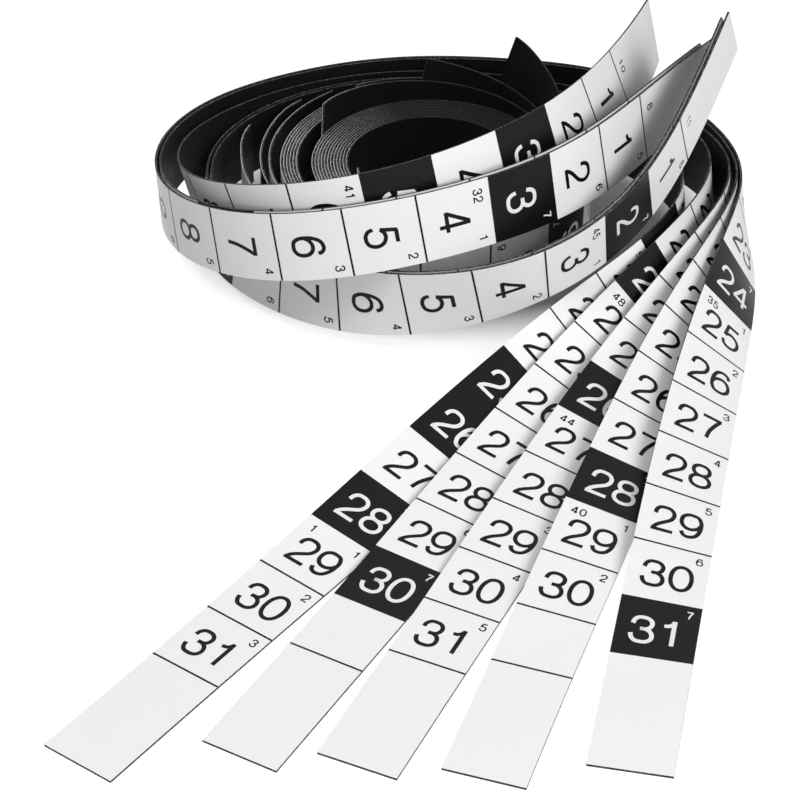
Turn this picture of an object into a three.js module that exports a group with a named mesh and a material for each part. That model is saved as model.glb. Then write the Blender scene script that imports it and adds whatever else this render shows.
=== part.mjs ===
// Twelve flexible magnetic strips, one for each month of a wall planner.
// Five of them fan out over the table, turn up on their long edge and run round the coil.
// Seven stand in a tight roll inside the coil: four wound together, three wound round those.
// Millimetres, +Z up, origin on the table under the middle of the set.
import * as THREE from 'three';

// Driving dimensions of one strip
const strip_width = 25;
const day_length = 25.25;
const days = 31;
const tail_blank = 47.5;
const head_blank = 47.5;
const core_thickness = 0.65;
const film_thickness = 0.15;

// How closely the strips lie
const nest_clearance = 0.8;
const roll_clearance = 0.35;

// The roll in the middle. It follows the loops round it, whose mean radius is loop_radius:
// roll_depth is what its turns and the free space round them take of that.
const roll_centre = [0.495 * day_length, 4.614 * day_length];
const loop_radius = 2.6 * day_length;
const roll_depth = 37.65;
const bore_radius = loop_radius - roll_depth;

// Fineness of the mesh
const bend_step = 8.4;
const roll_steps_per_turn = 20;

const strip_thickness = core_thickness + film_thickness;
const strip_length = tail_blank + days * day_length + head_blank;
const nest_pitch = strip_thickness + nest_clearance;
const roll_pitch = strip_thickness + roll_clearance;
const full_turn = 2 * Math.PI;
const degree = Math.PI / 180;

// A route is a table of stations along the strip, counted from its flat tail:
// [days along, heading in degrees, lift of the lower edge in strip widths, cant in degrees].
// A cant of 0 lies flat with its face up, and 90 stands on edge with its face outwards.
const august_start = [2.574 * day_length, -7.01 * day_length];
const august_route = [
  [0, 78.3, 0, 0],
  [1.5, 78.1, 0, 0],
  [4, 77.8, 0, 9.5],
  [8, 75.3, 0, 36],
  [10, 76.9, 0, 60.2],
  [11.5, 90.9, 0, 84],
  [13, 122.5, 0.06, 92],
  [15, 161.1, 0.29, 92],
  [17, 169.6, 0.26, 88.4],
  [19.5, 207, 0.21, 89.3],
  [22, 242.2, 0.48, 87],
  [24.5, 289.6, 0.73, 93],
  [27, 343.8, 1.15, 83.4],
  [29.5, 378.8, 1.57, 80.9],
  [32, 410.2, 1.69, 78.4],
  [34.76, 412.4, 1.79, 88.1],
];

const october_start = [-0.485 * day_length, -6.931 * day_length];
const october_route = [
  [0, 65.1, 0, 0],
  [1.5, 64.8, 0, 0],
  [4, 64.3, 0, 5],
  [8, 61.5, 0, 21.9],
  [10, 60.4, 0, 40.4],
  [11.5, 70.4, 0, 68.1],
  [13, 103.6, 0, 92],
  [15, 152.1, 0.04, 92],
  [17, 165.8, 0.09, 89],
  [19.5, 197.6, 0.06, 91.3],
  [22, 241.7, 0.3, 87.7],
  [24.5, 287.5, 0.84, 104],
  [27, 343.1, 1.53, 87],
  [29.5, 390.7, 1.99, 73],
  [32, 420.2, 2.01, 64],
  [34.76, 434.3, 1.83, 76.4],
];

const november_start = [-1.814 * day_length, -6.772 * day_length];
const november_route = [
  [0, 60.2, 0, 0],
  [1.5, 60.1, 0, 0],
  [4, 59.9, 0, 3.9],
  [8, 57.2, 0, 23.8],
  [10, 56.2, 0, 42.7],
  [11.5, 61.7, 0, 62.6],
  [13, 86.8, 0, 81.8],
  [15, 149.3, 0, 92],
  [17, 164.4, 0, 90],
  [19.5, 194.7, 0, 91],
  [22, 241.8, 0, 86],
  [24.5, 299.1, 0.04, 80],
  [27, 332.3, 0.2, 84.3],
  [29.5, 376.9, 0.65, 102.5],
  [32, 413.9, 1.3, 94.3],
  [34.76, 422.2, 2.62, 90.5],
];

// September lies against the inside of August, and December against the inside of November.
// Each joins its leader at a station of the leader, and its own tail is counted back from there:
// [days before the join, heading, lift, cant].
const september_join = 12.38;
const september_tail = [
  [12.79, 71.5, 0, 0],
  [11.29, 71, 0, 0],
  [8.79, 70.1, 0, 7.6],
  [4.79, 68.2, 0, 30],
  [2.79, 67.6, 0, 53],
  [1.29, 78.9, 0, 77],
];

const december_join = 17.3;
const december_tail = [
  [17.62, 54.2, 0, 0],
  [16.12, 53.9, 0, 0],
  [13.62, 53.2, 0, 5],
  [9.62, 52.1, 0, 28],
  [7.62, 50.4, 0, 40.5],
  [5.94, 52.8, 0, 54],
  [4.46, 79.3, 0, 79],
  [2.97, 115.4, 0, 90],
  [1.49, 146.2, 0, 90],
];

// The four strips of the inner roll run outwards counter-clockwise.
// end: where the head end stands, rise: how far it has climbed in strip widths, over: degrees,
// power: 1 for an even climb, more for one that steepens towards the end
const inner_roll = [
  { month: 'january', end: 157, rise: 0.5, over: 300, power: 2 },
  { month: 'february', end: 96, rise: 0.69, over: 205, power: 2 },
  { month: 'march', end: 129, rise: 0.4, over: 300, power: 2 },
  { month: 'april', end: 54, rise: 1.3, over: 130, power: 1.2 },
];

// The three strips of the outer roll run outwards clockwise, and their tail ends spring open.
// end: where the tail end stands, flare: how far it springs out in strip widths, over: degrees
const outer_roll = [
  { month: 'may', end: 127, flare: 0.24, over: 150 },
  { month: 'june', end: 139, flare: 0.34, over: 150 },
  { month: 'july', end: 160, flare: 0.55, over: 150 },
];

const magnet_black = { color: 0x1b1b1c, roughness: 0.62, metalness: 0 };
const film_white = { color: 0xf1f1ef, roughness: 0.36, metalness: 0 };

// A cubic spline through rows of [place, value], straight at its ends unless a last slope is given
function spline(places, values, last_slope = null) {
  const count = places.length;
  const lower = new Array(count).fill(0);
  const middle = new Array(count).fill(1);
  const upper = new Array(count).fill(0);
  const right = new Array(count).fill(0);
  const gap = (i) => places[i + 1] - places[i];
  const rate = (i) => (values[i + 1] - values[i]) / gap(i);
  for (let i = 1; i < count - 1; i += 1) {
    lower[i] = gap(i - 1);
    middle[i] = 2 * (gap(i - 1) + gap(i));
    upper[i] = gap(i);
    right[i] = 6 * (rate(i) - rate(i - 1));
  }
  if (last_slope !== null) {
    const i = count - 1;
    lower[i] = gap(i - 1);
    middle[i] = 2 * gap(i - 1);
    right[i] = 6 * (last_slope - rate(i - 1));
  }
  for (let i = 1; i < count; i += 1) {
    const factor = lower[i] / middle[i - 1];
    middle[i] -= factor * upper[i - 1];
    right[i] -= factor * right[i - 1];
  }
  const bend = new Array(count).fill(0);
  for (let i = count - 1; i >= 0; i -= 1) {
    const next = i < count - 1 ? upper[i] * bend[i + 1] : 0;
    bend[i] = (right[i] - next) / middle[i];
  }
  return (place) => {
    let i = 0;
    while (i < count - 2 && place > places[i + 1]) {
      i += 1;
    }
    const reach = gap(i);
    const a = Math.max(places[i + 1] - place, 0) / reach;
    const b = (place - places[i]) / reach;
    if (b > 1) {
      const slope = rate(i) + (reach * (2 * bend[i + 1] + bend[i])) / 6;
      return values[i + 1] + slope * (place - places[i + 1]);
    }
    const cubic = (a ** 3 - a) * bend[i] + (b ** 3 - b) * bend[i + 1];
    return a * values[i] + b * values[i + 1] + (cubic * reach ** 2) / 6;
  };
}

function column(rows, index, scale) {
  return rows.map((row) => row[index] * scale);
}

// Directions of a strip that runs along `along` with the given cant
function cross_section(centre, along, cant) {
  const right = new THREE.Vector3(along.y, -along.x, 0).normalize();
  const up = new THREE.Vector3().crossVectors(right, along);
  const left = up.clone().multiplyScalar(Math.sin(cant)).addScaledVector(right, -Math.cos(cant));
  const face = up.clone().multiplyScalar(Math.cos(cant)).addScaledVector(right, Math.sin(cant));
  return { centre, left, face };
}

// Height of the middle of a strip whose lower edge is lifted by `lift`
function middle_height(lift, cant) {
  const edge = (strip_width / 2) * Math.sin(cant);
  return lift + edge + (strip_thickness / 2) * Math.abs(Math.cos(cant));
}

// Walks along a strip from `from` to `to` by its heading, lift and cant at each place
function walk(laws, from, to, count) {
  const step = (to - from) / count;
  const height = (place) => middle_height(laws.lift(place), laws.cant(place));
  const slope = (place) => (height(place + 1) - height(place - 1)) / 2;
  const ahead = (place) => {
    const climb = Math.max(-0.9, Math.min(0.9, slope(place)));
    const level = Math.sqrt(1 - climb * climb);
    const heading = laws.heading(place);
    return new THREE.Vector3(level * Math.cos(heading), level * Math.sin(heading), climb);
  };
  const spot = new THREE.Vector3();
  const sections = [];
  for (let i = 0; i <= count; i += 1) {
    const place = from + i * step;
    const centre = new THREE.Vector3(spot.x, spot.y, height(place));
    sections.push(cross_section(centre, ahead(place), laws.cant(place)));
    spot.addScaledVector(ahead(place + step / 2), step);
  }
  return sections;
}

function shift_sections(sections, x, y) {
  for (const section of sections) {
    section.centre.x += x;
    section.centre.y += y;
  }
}

// The table stops a lift or a cant from swinging below zero
function above_table(law) {
  return (place) => Math.max(0, law(place));
}

function route_laws(rows) {
  const places = column(rows, 0, day_length);
  return {
    heading: spline(places, column(rows, 1, degree)),
    lift: above_table(spline(places, column(rows, 2, strip_width))),
    cant: above_table(spline(places, column(rows, 3, degree))),
  };
}

// Number of fine steps in one step of the mesh, which keeps the walk true round the bends
const walk_fineness = 4;

function every(sections, stride) {
  return sections.filter((section, index) => index % stride === 0);
}

// A strip that follows its own route. `spare` runs on past its head, for a strip nested in it.
function leading_strip(rows, start) {
  const laws = route_laws(rows);
  const steps = Math.ceil(strip_length / bend_step);
  const step = strip_length / steps;
  const spare = 6;
  const fine = (steps + spare) * walk_fineness;
  const sections = walk(laws, 0, strip_length + spare * step, fine);
  shift_sections(sections, start[0], start[1]);
  const path = every(sections, walk_fineness);
  return { laws, path, step, sections: path.slice(0, steps + 1) };
}

// A point part of the way from one section to the next
function between(first, second, share) {
  return {
    centre: first.centre.clone().lerp(second.centre, share),
    left: first.left.clone().lerp(second.left, share),
    face: first.face.clone().lerp(second.face, share).normalize(),
  };
}

// Shortens a run of sections to the strip's length, between two of them if need be
function cut_to_length(sections, length) {
  const kept = [sections[0]];
  let run = 0;
  for (let i = 1; i < sections.length; i += 1) {
    const stretch = sections[i].centre.distanceTo(sections[i - 1].centre);
    if (run + stretch >= length) {
      kept.push(between(sections[i - 1], sections[i], (length - run) / stretch));
      return kept;
    }
    run += stretch;
    kept.push(sections[i]);
  }
  return kept;
}

// A strip with its own tail that lies against the inside of its leader from the join on
function nested_strip(leader, join_day, tail_rows) {
  const first = Math.round((join_day * day_length) / leader.step);
  const join = first * leader.step;
  const beside = leader.path.slice(first).map(({ centre, left, face }) => {
    const level = (nest_pitch * face.z) / left.z;
    const inner = centre.clone().addScaledVector(face, -nest_pitch).addScaledVector(left, level);
    return { centre: inner, left, face };
  });
  const at_join = {
    heading: leader.laws.heading(join),
    lift: leader.laws.lift(join),
    cant: leader.laws.cant(join),
  };
  const turning = (leader.laws.heading(join + 1) - leader.laws.heading(join - 1)) / 2;
  const places = [...column(tail_rows, 0, -day_length), 0];
  const laws = {
    heading: spline(places, [...column(tail_rows, 1, degree), at_join.heading], turning),
    lift: above_table(spline(places, [...column(tail_rows, 2, strip_width), at_join.lift], 0)),
    cant: above_table(spline(places, [...column(tail_rows, 3, degree), at_join.cant], 0)),
  };
  const tail_steps = Math.round(-places[0] / leader.step);
  const tail = every(walk(laws, places[0], 0, tail_steps * walk_fineness), walk_fineness);
  const last = tail.pop();
  shift_sections(tail, beside[0].centre.x - last.centre.x, beside[0].centre.y - last.centre.y);
  return cut_to_length([...tail, ...beside], strip_length);
}

// A strip that stands on edge round the roll, by its radius and lift at each angle.
// The angles keep to one grid, so the flats of neighbouring turns stay parallel.
function rolled_strip(radius, lift, outer_end, outwards) {
  const grid = full_turn / roll_steps_per_turn;
  const spot = (angle) => {
    const x = roll_centre[0] + radius(angle) * Math.cos(angle);
    const y = roll_centre[1] + radius(angle) * Math.sin(angle);
    return new THREE.Vector3(x, y, lift(angle) + strip_width / 2);
  };
  const at = (angle) => {
    const nudge = 0.01;
    const ahead = spot(angle + nudge).sub(spot(angle - nudge));
    const level = Math.hypot(ahead.x, ahead.y);
    const left = new THREE.Vector3(0, 0, ahead.length() / level);
    const face = new THREE.Vector3(ahead.y, -ahead.x, 0).divideScalar(level);
    return { centre: spot(angle), left, face };
  };
  const beyond = outwards > 0 ? Math.ceil(outer_end / grid) : Math.floor(outer_end / grid);
  const share = Math.abs(beyond - outer_end / grid);
  const next = at((beyond - outwards) * grid);
  const end = between(at(beyond * grid), next, share);
  const ahead = end.centre.clone().sub(next.centre).normalize();
  const level = Math.hypot(ahead.x, ahead.y);
  end.left.set((-ahead.z * ahead.x) / level, (-ahead.z * ahead.y) / level, level);
  const sections = [end];
  let index = beyond - outwards;
  let run = 0;
  while (run < strip_length) {
    sections.push(at(index * grid));
    const [before, now] = sections.slice(-2);
    run += before.centre.distanceTo(now.centre);
    index -= outwards;
  }
  const whole = cut_to_length(sections, strip_length);
  return outwards > 0 ? whole.reverse() : whole;
}

// The angle that a strip of full length takes up on a spiral that starts at `start`
function spiral_span(start, growth) {
  return (-start + Math.sqrt(start * start + 2 * growth * strip_length)) / growth;
}

const inner_start = bore_radius + strip_thickness / 2;
const inner_growth = (inner_roll.length * roll_pitch) / full_turn;
const inner_span = spiral_span(inner_start, inner_growth);

function inner_strip(order) {
  const { end, rise, over, power } = inner_roll[order];
  const first = inner_roll[0].end * degree - inner_span;
  const outer_end = end * degree;
  const radius = (angle) => inner_start + order * roll_pitch + inner_growth * (angle - first);
  const lift = (angle) => {
    const back = Math.max(0, 1 - (outer_end - angle) / (over * degree));
    return rise * strip_width * back ** power;
  };
  return rolled_strip(radius, lift, outer_end, 1);
}

const last_order = inner_roll.length - 1;
const last_span = inner_span - (inner_roll[0].end - inner_roll[last_order].end) * degree;
const inner_outside = inner_start + last_order * roll_pitch + inner_growth * last_span;
const outer_growth = (outer_roll.length * roll_pitch) / full_turn;
const outer_span = spiral_span(inner_outside, outer_growth);

function outer_strip(order) {
  const { end, flare, over } = outer_roll[order];
  const outer_end = end * degree;
  const first = outer_roll[0].end * degree + outer_span;
  const radius = (angle) => {
    const tight = inner_outside + (order + 1) * roll_pitch + outer_growth * (first - angle);
    const back = Math.max(0, 1 - (angle - outer_end) / (over * degree));
    return tight + flare * strip_width * back ** 1.5;
  };
  return rolled_strip(radius, () => 0, outer_end, -1);
}

// One layer of a strip: a closed band between two heights above the middle of the strip
function layer(sections, bottom, top) {
  const positions = [];
  for (const { centre, left, face } of sections) {
    const corners = [[0.5, bottom], [-0.5, bottom], [-0.5, top], [0.5, top]];
    for (const [side, height] of corners) {
      const corner = centre.clone().addScaledVector(left, side * strip_width).addScaledVector(face, height);
      positions.push(corner.x, corner.y, corner.z);
    }
  }
  const faces = [];
  const quad = (a, b, c, d) => faces.push(a, b, c, a, c, d);
  for (let i = 0; i < sections.length - 1; i += 1) {
    const here = 4 * i;
    const next = here + 4;
    quad(here + 1, here, next, next + 1);
    quad(here + 2, here + 1, next + 1, next + 2);
    quad(here + 2, next + 2, next + 3, here + 3);
    quad(here, here + 3, next + 3, next);
  }
  const end = 4 * (sections.length - 1);
  quad(0, 1, 2, 3);
  quad(end + 3, end + 2, end + 1, end);
  const geometry = new THREE.BufferGeometry();
  geometry.setAttribute('position', new THREE.Float32BufferAttribute(positions, 3));
  geometry.setIndex(faces);
  geometry.computeVertexNormals();
  return geometry;
}

function piece(name, sections, bottom, top, finish) {
  const mesh = new THREE.Mesh(layer(sections, bottom, top), new THREE.MeshStandardMaterial(finish));
  mesh.name = name;
  return mesh;
}

function strip(month, sections) {
  const gap = gap_to_itself(sections);
  console.log(`${month} strip, least gap to itself: ${gap < 20 ? gap.toFixed(2) : 'over 20'} mm`);
  const back = -strip_thickness / 2;
  const joint = back + core_thickness;
  const group = new THREE.Group();
  group.add(piece(`${month}_magnet`, sections, back, joint, magnet_black));
  group.add(piece(`${month}_film`, sections, joint, strip_thickness / 2, film_white));
  return group;
}

// The least clear space between stretches of one strip that lie over 60 mm apart along it,
// measured on points of its middle face
function gap_to_itself(sections) {
  const apart = 60;
  const beside = 1.6;
  const points = [];
  let run = 0;
  for (let i = 0; i < sections.length - 1; i += 1) {
    const stretch = sections[i].centre.distanceTo(sections[i + 1].centre);
    for (const share of [0, 0.25, 0.5, 0.75]) {
      const { centre, left, face } = between(sections[i], sections[i + 1], share);
      for (let side = -0.5; side <= 0.5; side += 0.1) {
        const spot = centre.clone().addScaledVector(left, side * strip_width);
        points.push({ spot, face, place: run + share * stretch });
      }
    }
    run += stretch;
  }
  let least = Infinity;
  const way = new THREE.Vector3();
  for (const first of points) {
    for (const second of points) {
      if (second.place - first.place > apart && first.spot.distanceToSquared(second.spot) < 400) {
        way.subVectors(second.spot, first.spot);
        const off = Math.abs(way.dot(first.face));
        if (way.lengthSq() - off * off < beside * beside) {
          least = Math.min(least, off - strip_thickness);
        }
      }
    }
  }
  return least;
}

const august = leading_strip(august_route, august_start);
const october = leading_strip(october_route, october_start);
const november = leading_strip(november_route, november_start);

const planner = new THREE.Group();
planner.add(strip('december', nested_strip(november, december_join, december_tail)));
planner.add(strip('november', november.sections));
planner.add(strip('october', october.sections));
planner.add(strip('september', nested_strip(august, september_join, september_tail)));
planner.add(strip('august', august.sections));
inner_roll.forEach(({ month }, order) => planner.add(strip(month, inner_strip(order))));
outer_roll.forEach(({ month }, order) => planner.add(strip(month, outer_strip(order))));

// The origin goes to the table under the middle of the set
const box = new THREE.Box3().setFromObject(planner);
const middle = box.getCenter(new THREE.Vector3());
planner.position.set(-middle.x, -middle.y, -box.min.z);

export default planner;
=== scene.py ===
import math
from itertools import permutations

import bmesh
import bpy
import numpy as np
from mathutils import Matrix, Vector


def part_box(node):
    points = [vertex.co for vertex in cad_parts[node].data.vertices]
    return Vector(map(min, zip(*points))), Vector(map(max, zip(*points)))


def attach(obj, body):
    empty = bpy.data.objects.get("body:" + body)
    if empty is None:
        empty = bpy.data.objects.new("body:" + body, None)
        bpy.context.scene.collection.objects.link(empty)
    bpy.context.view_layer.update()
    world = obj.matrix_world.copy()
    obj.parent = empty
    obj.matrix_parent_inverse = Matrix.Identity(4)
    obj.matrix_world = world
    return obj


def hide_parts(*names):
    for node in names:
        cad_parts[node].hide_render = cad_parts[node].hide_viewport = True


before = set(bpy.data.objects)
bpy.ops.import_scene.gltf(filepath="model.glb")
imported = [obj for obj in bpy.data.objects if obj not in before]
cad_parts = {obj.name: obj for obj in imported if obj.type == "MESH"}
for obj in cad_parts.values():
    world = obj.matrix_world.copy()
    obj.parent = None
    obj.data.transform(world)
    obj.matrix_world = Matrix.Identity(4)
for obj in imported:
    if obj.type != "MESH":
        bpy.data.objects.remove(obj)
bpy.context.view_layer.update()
scene = bpy.context.scene

# Sizes of the strips, in metres
MM = 0.001
WIDTH = 25 * MM
DAY_LENGTH = 25.25 * MM
DAYS = 31
TAIL_BLANK = 47.5 * MM
HEAD_BLANK = 47.5 * MM
STRIP_LENGTH = TAIL_BLANK + DAYS * DAY_LENGTH + HEAD_BLANK

# How finely a strip is drawn
ROWS_PER_DAY = 24
ROLLED_ROWS_PER_DAY = 12
FACE_COLUMNS = 10
CORE_COLUMNS = 4
SAME_CORNER = 0.005 * MM
SAME_STATION = 0.001 * MM

# The print
INK_LIFT = 0.03 * MM
REVERSED_LIFT = 0.06 * MM
LINE_WIDTH = 0.7 * MM
DIGIT_HEIGHT = 12.0 * MM
DIGIT_WIDTH = 7.9 * MM
DIGIT_GAP = 0.9 * MM
DIGIT_STROKE = 1.42 * MM
DIGIT_BASE = 5.6 * MM
SMALL_HEIGHT = 3.5 * MM
SMALL_WIDTH = 2.35 * MM
SMALL_GAP = 0.45 * MM
SMALL_STROKE = 0.52 * MM
SMALL_DROP = 6.0 * MM
SMALL_MARGIN = 2.2 * MM
WEEK_MARGIN = 3.2 * MM
TITLE_RISE = 3.6 * MM
TITLE_MARGIN = 5.6 * MM
STROKE_STEP = 0.55 * MM
OVAL_STEPS = 24
OVAL_POWER = 0.92

# The calendar, in a leap year that begins on the second weekday
MONTHS = ("january", "february", "march", "april", "may", "june",
          "july", "august", "september", "october", "november", "december")
MONTH_DAYS = (31, 29, 31, 30, 31, 30, 31, 31, 30, 31, 30, 31)
FIRST_WEEKDAY = 2
WEEKDAYS = 7
WEEKS = 52
HOLIDAYS = {"october": (3,), "december": (25, 26)}

FANNED = ("december", "november", "october", "september", "august")
ROLLED = ("january", "february", "march", "april", "may", "june", "july")
ROLL_CENTRE = (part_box("january_magnet")[0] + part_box("january_magnet")[1]) / 2

# The side of the roll whose cut edges get light crumbs as painted light, the other side being
# painted shade, and how far the painted light reaches round it
PAINTED_LIGHT_WAY = (-0.86, -0.5, 0)
PAINTED_LIGHT_FROM = -5 * MM
PAINTED_LIGHT_TO = 38 * MM

# Looks: the strength of each sheen, the roughness of cut edges, how softly their crumbs begin,
# and which part of a noise makes specks on the film, dust on the rubber and clouds on both
FILM_SPECULAR = 0.14
CORE_SPECULAR = 0.12
EDGE_SPECULAR = 0.1
EDGE_ROUGHNESS = 0.8
CRUMB_FADE = 0.2
SPECKS = (0.86, 0.9)
DUST = (0.66, 0.78)
CLOUDS = (0.3, 0.7)

# The table, and the oval inside the loops where it is dark as painted shade, fading out at its rim.
# Its glow is given near the roll and far from it, each as a distance in metres and a strength.
TABLE_HALF = 3.0
TABLE_DROP = 0.05 * MM
TABLE_GREY = 0.4
GLOW_NEAR = (0.5, 0.8)
GLOW_FAR = (1.8, 0.95)
PAINTED_SHADE_CENTRE = (ROLL_CENTRE[0] + 7 * MM, ROLL_CENTRE[1] - 8 * MM, 0)
PAINTED_SHADE_HALF = (100 * MM, 72 * MM)
PAINTED_SHADE_FADE = (0.78, 1.06)

# The light of the white room on the strips, and the brightness of what is seen behind them
ROOM_LIGHT = 0.06
ROOM_SEEN = 1.0

# Each lamp's place, what it points at, its two sides in metres and its power in watts
LAMPS = {
    "key_softbox": ((-0.35, -0.25, 1.15), (0, 0, 0), (0.7, 0.7), 6.8),
    "fill_softbox": ((0.3, -1.25, 0.55), (0, 0, 0.03), (1.0, 0.6), 9.3),
    "side_softbox": ((1.1, -0.55, 0.85), (0, 0.05, 0.05), (0.7, 0.7), 10.0),
    "back_softbox": ((-1.0, 0.95, 0.6), (0, 0.1, 0.02), (0.8, 0.5), 4.5),
}

# The camera, at the place and with the lens of the photograph
CAMERA_PLACE = (-13.876 * MM, -683.616 * MM, 505 * MM)
CAMERA_PITCH = math.radians(36.5)
CAMERA_SENSOR = 36.0
CAMERA_LENS = 112.5
CAMERA_CLIP = (0.01, 50)


# Strokes of the digits, in a box one wide and one high
def turned(path):
    return [(1 - x, 1 - y) for x, y in path]


def oval(cx, cy, rx, ry):
    """A closed loop, a little squarer than an ellipse."""
    path = []
    for k in range(OVAL_STEPS + 1):
        a = 2 * math.pi * k / OVAL_STEPS
        c, s = math.cos(a), math.sin(a)
        path.append((cx + rx * math.copysign(abs(c) ** OVAL_POWER, c),
                     cy + ry * math.copysign(abs(s) ** OVAL_POWER, s)))
    return path


SIX = [(0.93, 0.79), (0.84, 0.93), (0.66, 0.995), (0.48, 0.99), (0.25, 0.92), (0.08, 0.74),
       (0.0, 0.45), (0.04, 0.2), (0.2, 0.04), (0.46, 0.0), (0.72, 0.02), (0.93, 0.13),
       (1.0, 0.31), (0.94, 0.49), (0.76, 0.61), (0.52, 0.645), (0.28, 0.6), (0.1, 0.5),
       (0.02, 0.4)]
STROKES = {
    "0": [oval(0.5, 0.5, 0.5, 0.5)],
    "1": [[(0.6, 0.0), (0.6, 0.5), (0.6, 1.03)],
          [(0.6, 0.99), (0.5, 0.87), (0.34, 0.8), (0.14, 0.785)]],
    "2": [[(0.03, 0.67), (0.08, 0.85), (0.24, 0.97), (0.5, 1.0), (0.76, 0.97), (0.95, 0.83),
           (0.95, 0.66), (0.84, 0.52), (0.6, 0.39), (0.33, 0.26), (0.12, 0.12), (0.02, -0.02)],
          [(-0.07, 0.0), (0.5, 0.0), (1.02, 0.0)]],
    "3": [[(0.04, 0.71), (0.1, 0.87), (0.27, 0.98), (0.5, 1.0), (0.74, 0.97), (0.92, 0.84),
           (0.91, 0.68), (0.79, 0.57), (0.58, 0.53), (0.4, 0.53)],
          [(0.4, 0.53), (0.64, 0.53), (0.88, 0.45), (1.0, 0.29), (0.95, 0.12), (0.76, 0.02),
           (0.48, 0.0), (0.22, 0.03), (0.06, 0.15), (0.0, 0.31)]],
    "4": [[(0.68, 1.0), (0.34, 0.63), (-0.02, 0.25)], [(-0.08, 0.26), (0.5, 0.26), (1.08, 0.26)],
          [(0.74, 0.0), (0.74, 0.5), (0.74, 1.03)]],
    "5": [[(0.16, 1.0), (0.5, 1.0), (0.92, 1.0)], [(0.2, 1.03), (0.14, 0.75), (0.07, 0.48)],
          [(0.08, 0.5), (0.24, 0.6), (0.48, 0.64), (0.78, 0.58), (0.97, 0.42), (0.98, 0.24),
           (0.84, 0.07), (0.56, 0.0), (0.3, 0.01), (0.08, 0.11), (0.0, 0.26)]],
    "6": [SIX],
    "7": [[(-0.02, 1.0), (0.5, 1.0), (1.03, 1.0)],
          [(0.97, 1.0), (0.7, 0.7), (0.46, 0.34), (0.36, 0.0)]],
    "8": [oval(0.5, 0.765, 0.43, 0.235), oval(0.5, 0.265, 0.5, 0.265)],
    "9": [turned(SIX)],
}


# Smooth curves
def unit(v):
    return v / np.linalg.norm(v, axis=-1, keepdims=True)


def stations_of(points):
    """How far along its own run each point lies."""
    return np.concatenate([[0], np.cumsum(np.linalg.norm(np.diff(points, axis=0), axis=1))])


def slopes_and_tangents(points, at):
    """The slope between neighbouring points, and a tangent at each point but the two ends."""
    gap = np.diff(at)[:, None]
    slope = np.diff(points, axis=0) / gap
    tangent = np.empty_like(points)
    tangent[1:-1] = (slope[:-1] * gap[1:] + slope[1:] * gap[:-1]) / (gap[:-1] + gap[1:])
    return slope, tangent


def read_curve(points, tangent, at, where):
    """The curve through the points, read at the stations where, and its rate of change there."""
    k = np.clip(np.searchsorted(at, where, "right") - 1, 0, len(at) - 2)
    h = np.diff(at)[k][:, None]
    f = (where - at[k])[:, None] / h
    curve = (points[k] * (1 + 2 * f) * (1 - f) ** 2 + tangent[k] * h * f * (1 - f) ** 2
             + points[k + 1] * f * f * (3 - 2 * f) + tangent[k + 1] * h * f * f * (f - 1))
    rate = ((points[k] - points[k + 1]) * (6 * f * f - 6 * f) / h
            + tangent[k] * (1 - f) * (1 - 3 * f) + tangent[k + 1] * f * (3 * f - 2))
    return curve, rate


def rail_curve(points, at, where):
    """A smooth rail through a strip's corners that stays on or above the table."""
    slope, tangent = slopes_and_tangents(points, at)
    tangent[0] = 2 * slope[0] - tangent[1]
    tangent[-1] = 2 * slope[-1] - tangent[-2]
    curve, _ = read_curve(points, tangent, at, where)
    curve[:, 2] = np.maximum(curve[:, 2], 0)
    return curve


def stroke_curve(path, scale_x, scale_y, step):
    """A stroke scaled to size, its points at even steps, and its direction at each."""
    knots = np.array(path) * (scale_x, scale_y)
    at = stations_of(knots)
    slope, tangent = slopes_and_tangents(knots, at)
    tangent[0] = slope[0]
    tangent[-1] = slope[-1]
    if np.allclose(knots[0], knots[-1]):
        tangent[0] = tangent[-1] = (slope[0] + slope[-1]) / 2
    where = np.linspace(0, at[-1], max(2, round(at[-1] / step)) + 1)
    curve, rate = read_curve(knots, tangent, at, where)
    return curve, unit(rate)


# The shape of a strip, read from its two solids
def corner_rows(node):
    """The four corners of each cross-section of one layer, in order along the strip."""
    shape = bmesh.new()
    shape.from_mesh(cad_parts[node].data)
    bmesh.ops.remove_doubles(shape, verts=shape.verts, dist=SAME_CORNER)
    shape.verts.index_update()
    points = np.array([v.co for v in shape.verts])
    near = [{e.other_vert(v).index for e in v.link_edges} for v in shape.verts]
    shape.free()

    def spread(first, allowed=None):
        order = [first]
        seen = {first}
        for a in order:
            for b in sorted(near[a]):
                if b not in seen and (allowed is None or b in allowed):
                    seen.add(b)
                    order.append(b)
        return order

    def span(a, b):
        return float(np.linalg.norm(points[a] - points[b]))

    # The cross-section in the middle comes first, and the others follow from it both ways
    end = spread(0)[-1]
    middle = spread(end)[len(points) // 2]
    beside = min(near[middle], key=lambda b: span(middle, b))
    across = min(near[middle], key=lambda b: abs(span(middle, b) - WIDTH))
    beyond = min(near[across], key=lambda b: span(across, b))
    centre = {middle, beside, across, beyond}
    around = {b for a in centre for b in near[a]} - centre
    one_side = set(spread(min(around), around))
    halves = []
    for row in (one_side, around - one_side):
        seen = set(centre)
        rows = []
        while row:
            rows.append(row)
            seen |= row
            row = {b for a in row for b in near[a]} - seen
        halves.append(rows)
    rows = halves[0][::-1] + [centre] + halves[1]

    # Each row's corners are put in the order of the row before it
    placed = [points[sorted(rows[0])]]
    for row in rows[1:]:
        corners = points[sorted(row)]
        orders = [corners[list(order)] for order in permutations(range(4))]
        placed.append(min(orders, key=lambda c: float(((c - placed[-1]) ** 2).sum())))
    return np.array(placed)


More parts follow.
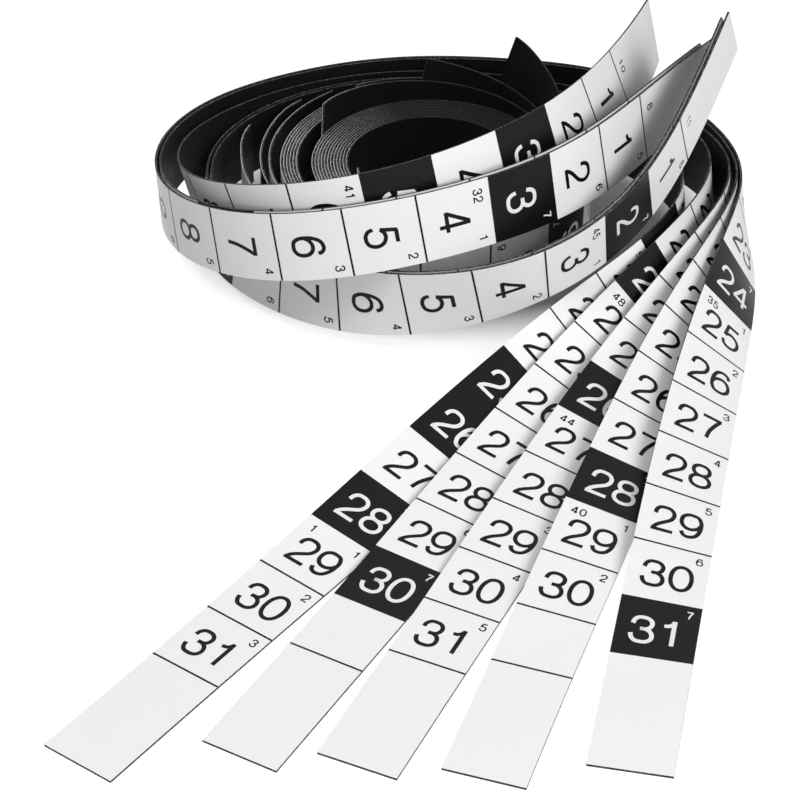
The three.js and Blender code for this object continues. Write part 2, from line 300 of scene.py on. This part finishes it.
def layer_rails(rows, outward, left):
    """The rows' corners as outer left, outer right, inner left and inner right."""
    k = len(rows) // 2
    rel = rows[k] - rows[k].mean(0)
    out = rel @ outward[k]
    side = rel @ left[k]
    pick = {}
    for i in range(4):
        across = "left" if side[i] > 0 else "right"
        mate = [j for j in range(4) if (side[j] > 0) == (side[i] > 0) and j != i][0]
        pick["outer " + across if out[i] > out[mate] else "inner " + across] = i
    return {name: rows[:, i] for name, i in pick.items()}


def day_edge(day):
    """The station of the edge of a day that is nearer to the head."""
    return TAIL_BLANK + (DAYS + 1 - day) * DAY_LENGTH


def row_stations(rows_per_day):
    blank = round(rows_per_day * TAIL_BLANK / DAY_LENGTH)
    tail = np.linspace(0, TAIL_BLANK, blank + 1)[:-1]
    days = np.linspace(TAIL_BLANK, TAIL_BLANK + DAYS * DAY_LENGTH, DAYS * rows_per_day + 1)[:-1]
    head = np.linspace(STRIP_LENGTH - HEAD_BLANK, STRIP_LENGTH, blank + 1)
    return np.concatenate([tail, days, head])


class Strip:
    """One strip: its smooth rails, and points on its printed face."""

    def __init__(self, month):
        self.month = month
        self.body = month + "_strip"
        film = corner_rows(month + "_film")
        core = corner_rows(month + "_magnet")
        # A fanned strip starts at its tail in front, a rolled one in the middle of the roll
        if month in FANNED:
            backward = film[0].mean(0)[1] > film[-1].mean(0)[1]
        else:
            centre = np.array(ROLL_CENTRE)[:2]
            reach = [np.linalg.norm(film[k].mean(0)[:2] - centre) for k in (0, -1)]
            backward = reach[0] > reach[1]
        if backward:
            film = film[::-1]
        if np.linalg.norm(core[0].mean(0) - film[0].mean(0)) > WIDTH:
            core = core[::-1]
        middle = film.mean(1)
        outward = unit(middle - core.mean(1))
        left = unit(np.cross(outward, unit(np.gradient(middle, axis=0))))
        at = stations_of(middle)
        at *= STRIP_LENGTH / at[-1]
        self.stations = row_stations(ROWS_PER_DAY if month in FANNED else ROLLED_ROWS_PER_DAY)
        self.film = {name: rail_curve(rail, at, self.stations)
                     for name, rail in layer_rails(film, outward, left).items()}
        self.core = {name: rail_curve(rail, at, self.stations)
                     for name, rail in layer_rails(core, outward, left).items()}
        a, b = self.film["outer left"], self.film["outer right"]
        self.outward = unit(np.cross(np.gradient(a / 2 + b / 2, axis=0), a - b))

    def on_face(self, across, station, lift):
        """Points on the printed face: across from the left edge, along from the tail end."""
        across = np.asarray(across)[:, None] / WIDTH
        k = np.clip(np.searchsorted(self.stations, station, "right") - 1, 0, len(self.stations) - 2)
        f = ((station - self.stations[k]) / (self.stations[k + 1] - self.stations[k]))[:, None]
        a, b = self.film["outer left"], self.film["outer right"]
        left = a[k] * (1 - f) + a[k + 1] * f
        right = b[k] * (1 - f) + b[k + 1] * f
        outward = self.outward[k] * (1 - f) + self.outward[k + 1] * f
        return left * (1 - across) + right * across + outward * lift


# Pieces
def new_object(name, points, faces, materials, face_material=None, smooth=None):
    mesh = bpy.data.meshes.new(name)
    mesh.from_pydata([tuple(p) for p in points], [], faces)
    for material in materials:
        mesh.materials.append(material)
    if face_material is not None:
        mesh.polygons.foreach_set("material_index", face_material)
    if smooth is not None:
        mesh.polygons.foreach_set("use_smooth", smooth)
    mesh.update()
    piece = bpy.data.objects.new(name, mesh)
    scene.collection.objects.link(piece)
    return piece


def slab(name, rails, columns, broad, edge):
    """A closed ribbon between four rails: broad faces smooth, cut edges with their own material."""
    n = len(rails["outer left"])
    per = columns + 1
    u = np.linspace(0, 1, per)[None, :, None]
    outer = rails["outer left"][:, None] * (1 - u) + rails["outer right"][:, None] * u
    inner = rails["inner left"][:, None] * (1 - u) + rails["inner right"][:, None] * u
    points = np.concatenate([outer.reshape(-1, 3), inner.reshape(-1, 3)])
    back = n * per
    faces = []
    for i in range(n - 1):
        for j in range(columns):
            a = i * per + j
            faces.append((a, a + 1, a + per + 1, a + per))
            faces.append((back + a, back + a + per, back + a + per + 1, back + a + 1))
    kinds = [0] * len(faces)
    # The cut edges have corners of their own, so that they stay sharp
    rim = np.stack([outer[:, 0], inner[:, 0], inner[:, -1], outer[:, -1]], 1)
    first = len(points)
    points = np.concatenate([points, rim.reshape(-1, 3)])
    for i in range(n - 1):
        a = first + 4 * i
        faces.append((a, a + 4, a + 5, a + 1))
        faces.append((a + 2, a + 6, a + 7, a + 3))
    for k, order in ((0, 1), (n - 1, -1)):
        start = len(points)
        points = np.concatenate([points, outer[k], inner[k][::-1]])
        faces.append(tuple(range(start, start + 2 * per))[::order])
    kinds += [1] * (len(faces) - len(kinds))
    return new_object(name, points, faces, [broad, edge], kinds, [k == 0 for k in kinds])


class Print:
    """Ink and white marks laid on the face of one strip."""

    def __init__(self, strip):
        self.strip = strip
        self.step = STROKE_STEP if strip.month in FANNED else 2 * STROKE_STEP
        self.points = []
        self.faces = []
        self.kinds = []

    def patch(self, across, station, faces, reversed_out):
        lift = REVERSED_LIFT if reversed_out else INK_LIFT
        start = sum(len(p) for p in self.points)
        self.points.append(self.strip.on_face(across, station, lift))
        self.faces += [tuple(start + i for i in f) for f in faces]
        self.kinds += [1 if reversed_out else 0] * len(faces)

    def band(self, stations):
        """Ink over the whole width of the face, on the stations given."""
        per = FACE_COLUMNS + 1
        across = np.tile(np.linspace(0.0, WIDTH, per), len(stations))
        station = np.repeat(stations, per)
        faces = [(i * per + j, i * per + j + 1, (i + 1) * per + j + 1, (i + 1) * per + j)
                 for i in range(len(stations) - 1) for j in range(FACE_COLUMNS)]
        self.patch(across, station, faces, False)

    def line(self, station):
        half = LINE_WIDTH / 2
        self.band(np.array([station - half, station + half]))

    def block(self, low, high):
        """A black field, drawn on the same rows as the face."""
        at = self.strip.stations
        rows = at[(at > low + SAME_STATION) & (at < high - SAME_STATION)]
        self.band(np.concatenate([[low], rows, [high]]))

    def stroke(self, path, left, base, width, height, thick, reversed_out):
        """One stroke of a digit, whose left is across and whose up is towards the head."""
        step = self.step / 2 if thick < DIGIT_STROKE / 2 else self.step
        curve, way = stroke_curve(path, width - thick, height - thick, step)
        side = np.stack([-way[:, 1], way[:, 0]], 1) * thick / 2
        rim = np.stack([curve + side, curve - side], 1).reshape(-1, 2)
        across = left + thick / 2 + rim[:, 0]
        station = base + thick / 2 + rim[:, 1]
        faces = [(2 * i, 2 * i + 1, 2 * i + 3, 2 * i + 2) for i in range(len(curve) - 1)]
        self.patch(across, station, faces, reversed_out)

    def number(self, text, left, base, width, height, gap, thick, reversed_out):
        for digit in text:
            for path in STROKES[digit]:
                self.stroke(path, left, base, width, height, thick, reversed_out)
            left += width + gap

    def large(self, text, base, reversed_out):
        wide = len(text) * DIGIT_WIDTH + (len(text) - 1) * DIGIT_GAP
        self.number(text, (WIDTH - wide) / 2, base, DIGIT_WIDTH, DIGIT_HEIGHT, DIGIT_GAP,
                    DIGIT_STROKE, reversed_out)

    def small(self, text, left, base, reversed_out):
        self.number(text, left, base, SMALL_WIDTH, SMALL_HEIGHT, SMALL_GAP, SMALL_STROKE,
                    reversed_out)

    def day(self, day, weekday, week, black):
        high = day_edge(day)
        low = high - DAY_LENGTH
        if black:
            self.block(low, high)
        self.large(str(day), low + DIGIT_BASE, black)
        self.small(str(weekday), WIDTH - SMALL_MARGIN - SMALL_WIDTH, high - SMALL_DROP, black)
        if weekday == 1:
            self.small(str(week), WEEK_MARGIN, high - SMALL_DROP, black)

    def finish(self, ink, white):
        piece = new_object(self.strip.month + "_print", np.concatenate(self.points), self.faces,
                           [ink, white], self.kinds, [True] * len(self.faces))
        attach(piece, self.strip.body)


def print_month(strip, ink, white):
    index = MONTHS.index(strip.month)
    before = sum(MONTH_DAYS[:index])
    page = Print(strip)
    blacks = set()
    for day in range(1, MONTH_DAYS[index] + 1):
        count = before + day - 1 + FIRST_WEEKDAY - 1
        weekday = count % WEEKDAYS + 1
        week = count // WEEKDAYS % WEEKS + 1
        black = weekday == WEEKDAYS or day in HOLIDAYS.get(strip.month, ())
        if black:
            blacks.add(day)
        page.day(day, weekday, week, black)
    for day in range(1, DAYS + 2):
        if day not in blacks and day - 1 not in blacks:
            page.line(day_edge(day))
    page.small(str(index + 1), TITLE_MARGIN, day_edge(1) + TITLE_RISE, False)
    page.finish(ink, white)


# Materials. The colour sockets of a mix node share their names with others, so they go by number.
MIX_A = 6
MIX_B = 7
MIX_RESULT = 2


class Tree:
    """The shader nodes of one material or of the world."""

    def __init__(self, owner):
        owner.use_nodes = True
        self.nodes = owner.node_tree.nodes
        self.links = owner.node_tree.links

    def add(self, kind, operation=None):
        node = self.nodes.new("ShaderNode" + kind)
        if operation:
            node.operation = operation
        return node

    def place(self):
        return self.add("TexCoord").outputs["Object"]

    def noise(self, scale, detail, roughness):
        texture = self.add("TexNoise")
        texture.inputs["Scale"].default_value = scale
        texture.inputs["Detail"].default_value = detail
        texture.inputs["Roughness"].default_value = roughness
        self.links.new(self.place(), texture.inputs["Vector"])
        return texture.outputs["Fac"]

    def remap(self, value, start, to):
        """The value, turned from the range start into the range to, and held to its ends."""
        node = self.add("MapRange")
        for name, number in zip(("From Min", "From Max", "To Min", "To Max"), (*start, *to)):
            node.inputs[name].default_value = number
        self.links.new(value, node.inputs["Value"])
        return node.outputs["Result"]

    def pair(self, a, b, operation):
        node = self.add("Math", operation)
        self.links.new(a, node.inputs[0])
        self.links.new(b, node.inputs[1])
        return node.outputs[0]

    def vector(self, value, operation, other, output):
        node = self.add("VectorMath", operation)
        self.links.new(value, node.inputs[0])
        node.inputs[1].default_value = other
        return node.outputs[output]

    def blend(self, factor, a, b):
        """Colour a where the factor is nought and b where it is one."""
        mix = self.add("Mix")
        mix.data_type = "RGBA"
        self.links.new(factor, mix.inputs[0])
        mix.inputs[MIX_A].default_value = (*a, 1)
        mix.inputs[MIX_B].default_value = (*b, 1)
        return mix.outputs[MIX_RESULT]

    def background_rays(self):
        """One for the rays that see the white background: camera, glossy and transmission rays."""
        path = self.add("LightPath")
        seen = self.pair(path.outputs["Is Camera Ray"], path.outputs["Is Glossy Ray"], "MAXIMUM")
        return self.pair(seen, path.outputs["Is Transmission Ray"], "MAXIMUM")


class Surface(Tree):
    """A material with nothing but an output, and a principled shader where one is asked for."""

    def __init__(self, name):
        self.material = bpy.data.materials.new(name)
        super().__init__(self.material)
        self.nodes.clear()
        self.output = self.add("OutputMaterial")

    def principled(self, specular):
        self.shader = self.add("BsdfPrincipled")
        self.shader.inputs["Specular IOR Level"].default_value = specular
        self.links.new(self.shader.outputs["BSDF"], self.output.inputs["Surface"])

    def feed(self, value, socket):
        self.links.new(value, self.shader.inputs[socket])

    def bump(self, height, strength, distance):
        bump = self.add("Bump")
        bump.inputs["Strength"].default_value = strength
        bump.inputs["Distance"].default_value = distance
        self.links.new(height, bump.inputs["Height"])
        self.feed(bump.outputs["Normal"], "Normal")


def film_material(name, colour, speck, roughness):
    """Smooth printed film with a faint orange peel, a soft sheen and a few specks of dust."""
    look = Surface(name)
    look.principled(FILM_SPECULAR)
    specks = look.remap(look.noise(scale=1500, detail=0, roughness=0.5), SPECKS, (0, 1))
    look.feed(look.blend(specks, colour, speck), "Base Color")
    cloud = look.noise(scale=60, detail=3, roughness=0.55)
    look.feed(look.remap(cloud, CLOUDS, roughness), "Roughness")
    peel = look.noise(scale=900, detail=3, roughness=0.6)
    look.bump(peel, strength=0.12, distance=0.04 * MM)
    return look.material


def core_material(name, colour, dusty, roughness):
    """Matt black magnetic rubber, with fine grain and a trace of dust."""
    look = Surface(name)
    look.principled(CORE_SPECULAR)
    grain = look.noise(scale=2600, detail=4, roughness=0.65)
    dust = look.remap(grain, DUST, (0, 1))
    look.feed(look.blend(dust, colour, dusty), "Base Color")
    cloud = look.noise(scale=90, detail=3, roughness=0.6)
    look.feed(look.remap(cloud, CLOUDS, roughness), "Roughness")
    look.bump(grain, strength=0.25, distance=0.06 * MM)
    return look.material


def edge_material(name, dark, crumb, bare, least=1):
    """A cut edge, rough, with light crumbs where the noise is over bare.

    Where least is under one, the crumbs are those of the roll and are painted light: whole on its
    front-left side, and fading to that share of themselves on the other, which is painted shade.
    """
    look = Surface(name)
    look.principled(EDGE_SPECULAR)
    look.shader.inputs["Roughness"].default_value = EDGE_ROUGHNESS
    grit = look.noise(scale=1900, detail=3, roughness=0.7)
    crumbs = look.remap(grit, (bare, bare + CRUMB_FADE), (0, 1))
    if least < 1:
        # Painted light: the crumbs are whole on the front-left side of the roll and fade on the far
        # side, which is painted shade
        middle = PAINTED_LIGHT_WAY[0] * ROLL_CENTRE[0] + PAINTED_LIGHT_WAY[1] * ROLL_CENTRE[1]
        along = look.vector(look.place(), "DOT_PRODUCT", PAINTED_LIGHT_WAY, "Value")
        painted_light = look.remap(along, (middle + PAINTED_LIGHT_FROM, middle + PAINTED_LIGHT_TO), (least, 1))
        crumbs = look.pair(crumbs, painted_light, "MULTIPLY")
    look.feed(look.blend(crumbs, dark, crumb), "Base Color")
    look.bump(grit, strength=0.9, distance=0.2 * MM)
    return look.material


def table_material(name):
    """White behind the strips and soft in their shadows: it glows for the rays that see it."""
    look = Surface(name)
    diffuse = look.add("BsdfDiffuse")
    diffuse.inputs["Color"].default_value = (TABLE_GREY, TABLE_GREY, TABLE_GREY, 1)
    # Far from the lamps the table would turn grey, so it glows more there
    middle = (ROLL_CENTRE[0], ROLL_CENTRE[1], 0)
    away = look.vector(look.place(), "DISTANCE", middle, "Value")
    strength = look.remap(away, (GLOW_NEAR[0], GLOW_FAR[0]), (GLOW_NEAR[1], GLOW_FAR[1]))
    # Painted shade: in the oval inside the loops, where the loops shade the table, it glows not at
    # all
    offset = look.vector(look.place(), "SUBTRACT", PAINTED_SHADE_CENTRE, "Vector")
    share = look.vector(offset, "MULTIPLY", (1 / PAINTED_SHADE_HALF[0], 1 / PAINTED_SHADE_HALF[1], 0), "Vector")
    reach = look.vector(share, "LENGTH", (0, 0, 0), "Value")
    strength = look.pair(strength, look.remap(reach, PAINTED_SHADE_FADE, (0, 1)), "MULTIPLY")
    glow = look.add("Emission")
    look.links.new(look.pair(strength, look.background_rays(), "MULTIPLY"), glow.inputs["Strength"])
    total = look.add("AddShader")
    look.links.new(diffuse.outputs[0], total.inputs[0])
    look.links.new(glow.outputs[0], total.inputs[1])
    look.links.new(total.outputs[0], look.output.inputs["Surface"])
    return look.material


white_film = film_material("white_film", (0.86, 0.86, 0.855), (0.45, 0.45, 0.44),
                           roughness=(0.32, 0.41))
black_ink = film_material("black_ink", (0.005, 0.005, 0.0052), (0.04, 0.04, 0.04),
                          roughness=(0.26, 0.35))
white_mark = film_material("white_mark", (0.8, 0.8, 0.795), (0.5, 0.5, 0.5),
                           roughness=(0.32, 0.41))
black_rubber = core_material("black_rubber", (0.007, 0.007, 0.0073), (0.04, 0.04, 0.04),
                             roughness=(0.42, 0.56))
cut_edge = edge_material("cut_edge", (0.018, 0.018, 0.0185), (0.3, 0.3, 0.295), bare=0.5)
film_edge = edge_material("film_edge", (0.03, 0.03, 0.03), (0.34, 0.34, 0.335), bare=0.52)
# On the roll the cut edges carry painted light: light crumbs and white film edges on its front-left
# side, fading to painted shade on the far side
rolled_edge = edge_material("rolled_edge", (0.008, 0.008, 0.0083), (0.4, 0.4, 0.395),
                            bare=0.48, least=0.08)
rolled_film_edge = edge_material("rolled_film_edge", (0.03, 0.03, 0.03), (1.0, 1.0, 0.99),
                                 bare=0.05, least=0.1)

# The strips
for month in FANNED + ROLLED:
    strip = Strip(month)
    fanned = month in FANNED
    core = slab(month + "_core", strip.core, CORE_COLUMNS, black_rubber,
                cut_edge if fanned else rolled_edge)
    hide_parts(month + "_magnet")
    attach(core, strip.body)
    face = slab(month + "_face", strip.film, FACE_COLUMNS, white_film,
                film_edge if fanned else rolled_film_edge)
    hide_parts(month + "_film")
    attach(face, strip.body)
    print_month(strip, black_ink, white_mark)

# The table
table_corners = [(-TABLE_HALF, -TABLE_HALF, 0), (TABLE_HALF, -TABLE_HALF, 0),
                 (TABLE_HALF, TABLE_HALF, 0), (-TABLE_HALF, TABLE_HALF, 0)]
table = new_object("table_top", table_corners, [(0, 1, 2, 3)], [table_material("white_table")])
table.location.z = -TABLE_DROP

# The white room
world = bpy.data.worlds.new("studio")
scene.world = world
room = Tree(world)
background = room.nodes["Background"]
background.inputs["Color"].default_value = (1, 1, 1, 1)
room.links.new(room.remap(room.background_rays(), (0, 1), (ROOM_LIGHT, ROOM_SEEN)),
               background.inputs["Strength"])

# The lamps
for name, (place, target, sides, power) in LAMPS.items():
    lamp_data = bpy.data.lights.new(name, "AREA")
    lamp_data.shape = "RECTANGLE"
    lamp_data.size, lamp_data.size_y = sides
    lamp_data.energy = power
    lamp = bpy.data.objects.new(name, lamp_data)
    lamp.location = place
    lamp.rotation_euler = (Vector(target) - Vector(place)).to_track_quat("-Z", "Y").to_euler()
    scene.collection.objects.link(lamp)

# The camera
camera_data = bpy.data.cameras.new("camera")
camera_data.sensor_width = CAMERA_SENSOR
camera_data.lens = CAMERA_LENS
camera_data.clip_start, camera_data.clip_end = CAMERA_CLIP
camera = bpy.data.objects.new("camera", camera_data)
camera.location = CAMERA_PLACE
camera.rotation_euler = (math.pi / 2 - CAMERA_PITCH, 0, 0)
scene.collection.objects.link(camera)
scene.camera = camera

scene.view_settings.view_transform = "Standard"
